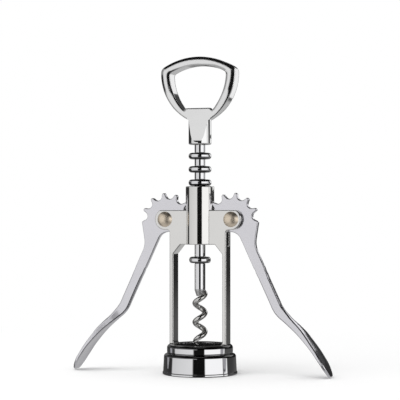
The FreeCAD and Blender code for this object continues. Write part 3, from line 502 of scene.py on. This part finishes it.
class CORKSCREW_OT_wings(bpy.types.Operator):
    """Satin chrome on both wings"""

    bl_idname = "corkscrew.wings"
    bl_label = "Wings"

    def execute(self, context):
        finish = context.scene.corkscrew_finishes
        give(satin_chrome("Satin chrome on cast zinc", finish.wing, finish.grain, roughness=0.16),
             "left_wing", "right_wing")
        return {"FINISHED"}


class CORKSCREW_OT_rivets(bpy.types.Operator):
    """Warm nickel on the rivets that the wings turn on"""

    bl_idname = "corkscrew.rivets"
    bl_label = "Rivets"

    def execute(self, context):
        finish = context.scene.corkscrew_finishes
        for name in ("left_rivet", "right_rivet"):
            low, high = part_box(name)
            centre = (Vector(low) + Vector(high)) / 2
            give(turned_nickel("Nickel on headed steel, " + name, finish.rivet, centre), name)
        return {"FINISHED"}


class CORKSCREW_OT_rack(bpy.types.Operator):
    """Chrome on the ringed rack and the rod below it, bare steel on the collar"""

    bl_idname = "corkscrew.rack"
    bl_label = "Rack, holder and collar"

    def execute(self, context):
        finish = context.scene.corkscrew_finishes
        # The rack's colour carries painted dark reflections where its rings turn over and on their flat
        # tops
        give(polished_chrome("Chrome on turned steel, polished", finish.rod, ripple_mm=12.0,
                             ripple_depth_mm=0.003, haze=0.04, edge_mm=0.3, painted_reflection_from=0.35),
             "rack_sleeve", "worm_holder")
        give(bare_steel("Turned steel, satin", finish.collar, roughness=0.3), "worm_collar")
        return {"FINISHED"}


class CORKSCREW_OT_worm(bpy.types.Operator):
    """Drawn steel on the worm"""

    bl_idname = "corkscrew.worm"
    bl_label = "Worm"

    def execute(self, context):
        finish = context.scene.corkscrew_finishes
        give(bare_steel("Drawn spring steel, bent cold", finish.wire, roughness=0.1), "worm")
        return {"FINISHED"}


class CORKSCREW_OT_handle(bpy.types.Operator):
    """Chrome on the handle, steel on its cross pin"""

    bl_idname = "corkscrew.handle"
    bl_label = "Handle and pin"

    def execute(self, context):
        finish = context.scene.corkscrew_finishes
        give(polished_chrome("Chrome on cast zinc, bright", finish.handle, ripple_mm=8.0,
                             ripple_depth_mm=0.01, haze=0.06, edge_mm=1.4, bent_edges=True),
             "opener_handle")
        give(bare_steel("Ground steel pin", finish.collar, roughness=0.2), "handle_pin")
        return {"FINISHED"}


class CORKSCREW_OT_studio(bpy.types.Operator):
    """Floor, lamp, card, surroundings and camera"""

    bl_idname = "corkscrew.studio"
    bl_label = "Studio"

    def execute(self, context):
        studio = context.scene.corkscrew_studio
        self.add_floor(studio)
        self.add_lamp(context, studio)
        self.add_card(studio)
        self.add_world(context, studio)
        self.add_camera(context, studio)
        context.scene.view_settings.view_transform = "Standard"
        return {"FINISHED"}

    def add_floor(self, studio):
        bpy.ops.object.select_all(action="DESELECT")
        bpy.ops.mesh.primitive_circle_add(vertices=FLOOR_CORNERS, radius=studio.floor_radius,
                                          fill_type="NGON")
        floor = bpy.context.object
        floor.name = "floor"
        floor.data.materials.append(floor_paper("White paper, matt", studio.floor))
        floor.visible_glossy = False

    def add_lamp(self, context, studio):
        painted_reflection = bpy.data.lights.new("overhead", "AREA")
        painted_reflection.shape = "DISK"
        painted_reflection.size = LAMP_SIZE
        painted_reflection.energy = studio.lamp_power
        lamp = bpy.data.objects.new("overhead", painted_reflection)
        context.scene.collection.objects.link(lamp)
        lamp.location = LAMP_PLACE
        aim = Vector(LAMP_AIM) - lamp.location
        lamp.rotation_euler = aim.to_track_quat("-Z", "Y").to_euler()
        lamp.visible_glossy = False
        lamp.visible_camera = False

    def add_card(self, studio):
        """A white card behind the object, which only reflections show."""
        bpy.ops.object.select_all(action="DESELECT")
        bpy.ops.mesh.primitive_plane_add(size=1.0)
        card = bpy.context.object
        card.name = "card"
        bearing = studio.azimuth + math.radians(CARD_BEARING)
        middle = (CARD_DISTANCE * math.sin(bearing), -CARD_DISTANCE * math.cos(bearing),
                  (CARD_LOW + CARD_HIGH) / 2)
        card.data.transform(
            Matrix.Translation(middle)
            @ Matrix.Rotation(bearing, 4, "Z") @ Matrix.Rotation(math.pi / 2, 4, "X")
            @ Matrix.Diagonal((CARD_WIDTH, CARD_HIGH - CARD_LOW, 1.0, 1.0)))
        card.data.materials.append(card_white("White card, lit", CARD_BRIGHTNESS))
        card.visible_camera = False
        card.visible_diffuse = False
        card.visible_shadow = False

    def add_world(self, context, studio):
        world = bpy.data.worlds.new("studio")
        context.scene.world = world
        world.use_nodes = True
        tree = world.node_tree
        tree.nodes.clear()
        place = node(tree, "ShaderNodeTexCoord")
        axes = node(tree, "ShaderNodeSeparateXYZ", links={"Vector": (place, "Generated")})
        front = node(tree, "ShaderNodeMath", {1: -1.0}, {0: (axes, "Y")}, operation="MULTIPLY")
        around = node(tree, "ShaderNodeMath", links={0: (axes, "X"), 1: (front, "Value")},
                      operation="ARCTAN2")
        turned = node(tree, "ShaderNodeMath", {1: studio.azimuth}, {0: (around, "Value")},
                      operation="SUBTRACT")
        wrapped = node(tree, "ShaderNodeMath", {1: math.pi, 2: -math.pi}, {0: (turned, "Value")},
                       operation="WRAP")
        share = node(tree, "ShaderNodeMapRange", {"From Min": -math.pi, "From Max": math.pi},
                     {"Value": (wrapped, "Value")})
        rise = node(tree, "ShaderNodeMath", links={0: (axes, "Z")}, operation="ARCSINE")
        below = None
        for start, blend, zone in ZONES:
            within = node(tree, "ShaderNodeValToRGB", links={"Fac": (share, "Result")},
                          stops=once_round(zone))
            if below is None:
                below = within
                continue
            low = math.radians(start - blend / 2)
            high = math.radians(start + blend / 2)
            entered = node(tree, "ShaderNodeMapRange", {"From Min": low, "From Max": high},
                           {"Value": (rise, "Value")}, interpolation_type="SMOOTHSTEP")
            below = node(tree, "ShaderNodeMixRGB",
                         links={"Fac": (entered, "Result"), "Color1": (below, "Color"),
                                "Color2": (within, "Color")})
        panels = node(tree, "ShaderNodeBackground", {"Strength": 1.0}, {"Color": (below, "Color")})
        even = node(tree, "ShaderNodeBackground", {"Color": grey(1.0), "Strength": EVEN_LIGHT})
        white = node(tree, "ShaderNodeBackground", {"Color": grey(1.0), "Strength": 1.0})
        path = node(tree, "ShaderNodeLightPath")
        seen = node(tree, "ShaderNodeMixShader",
                    links={"Fac": (path, "Is Glossy Ray"), 1: (even, "Background"),
                           2: (panels, "Background")})
        whole = node(tree, "ShaderNodeMixShader",
                     links={"Fac": (path, "Is Camera Ray"), 1: (seen, "Shader"), 2: (white, "Background")})
        node(tree, "ShaderNodeOutputWorld", links={"Surface": (whole, "Shader")})

    def add_camera(self, context, studio):
        lens = bpy.data.cameras.new("camera")
        lens.sensor_width = SENSOR_MM
        lens.lens = studio.zoom_px / IMAGE_WIDTH_PX * SENSOR_MM
        lens.clip_start = 0.01
        lens.clip_end = 20.0
        camera = bpy.data.objects.new("camera", lens)
        context.scene.collection.objects.link(camera)
        camera.location = (studio.distance * math.sin(studio.azimuth),
                           -studio.distance * math.cos(studio.azimuth), studio.height)
        pitch = math.atan2(studio.horizon_px, studio.zoom_px)
        camera.rotation_euler = Euler((math.pi / 2 + pitch, 0, studio.azimuth))
        context.scene.camera = camera


class CORKSCREW_PT_sidebar(bpy.types.Panel):
    """Buttons and settings for the corkscrew"""

    bl_idname = "CORKSCREW_PT_sidebar"
    bl_label = "Wing corkscrew"
    bl_space_type = "VIEW_3D"
    bl_region_type = "UI"
    bl_category = "Corkscrew"

    def draw(self, context):
        for group in (context.scene.corkscrew_finishes, context.scene.corkscrew_studio):
            box = self.layout.box()
            for name in group.bl_rna.properties.keys():
                if name not in ("rna_type", "name"):
                    box.prop(group, name)
        for operator in OPERATORS:
            self.layout.operator(operator.bl_idname)


OPERATORS = (
    CORKSCREW_OT_frame,
    CORKSCREW_OT_bell,
    CORKSCREW_OT_wings,
    CORKSCREW_OT_rivets,
    CORKSCREW_OT_rack,
    CORKSCREW_OT_worm,
    CORKSCREW_OT_handle,
    CORKSCREW_OT_studio,
)
CLASSES = (CorkscrewFinishes, CorkscrewStudio, *OPERATORS, CORKSCREW_PT_sidebar)


def register():
    for item in CLASSES:
        bpy.utils.register_class(item)
    bpy.types.Scene.corkscrew_finishes = bpy.props.PointerProperty(type=CorkscrewFinishes)
    bpy.types.Scene.corkscrew_studio = bpy.props.PointerProperty(type=CorkscrewStudio)


def unregister():
    del bpy.types.Scene.corkscrew_studio
    del bpy.types.Scene.corkscrew_finishes
    for item in reversed(CLASSES):
        bpy.utils.unregister_class(item)


def main():
    register()
    bpy.ops.corkscrew.studio()
    bpy.ops.corkscrew.frame()
    bpy.ops.corkscrew.bell()
    bpy.ops.corkscrew.wings()
    bpy.ops.corkscrew.rivets()
    bpy.ops.corkscrew.rack()
    bpy.ops.corkscrew.worm()
    bpy.ops.corkscrew.handle()


if __name__ == "__main__":
    main()
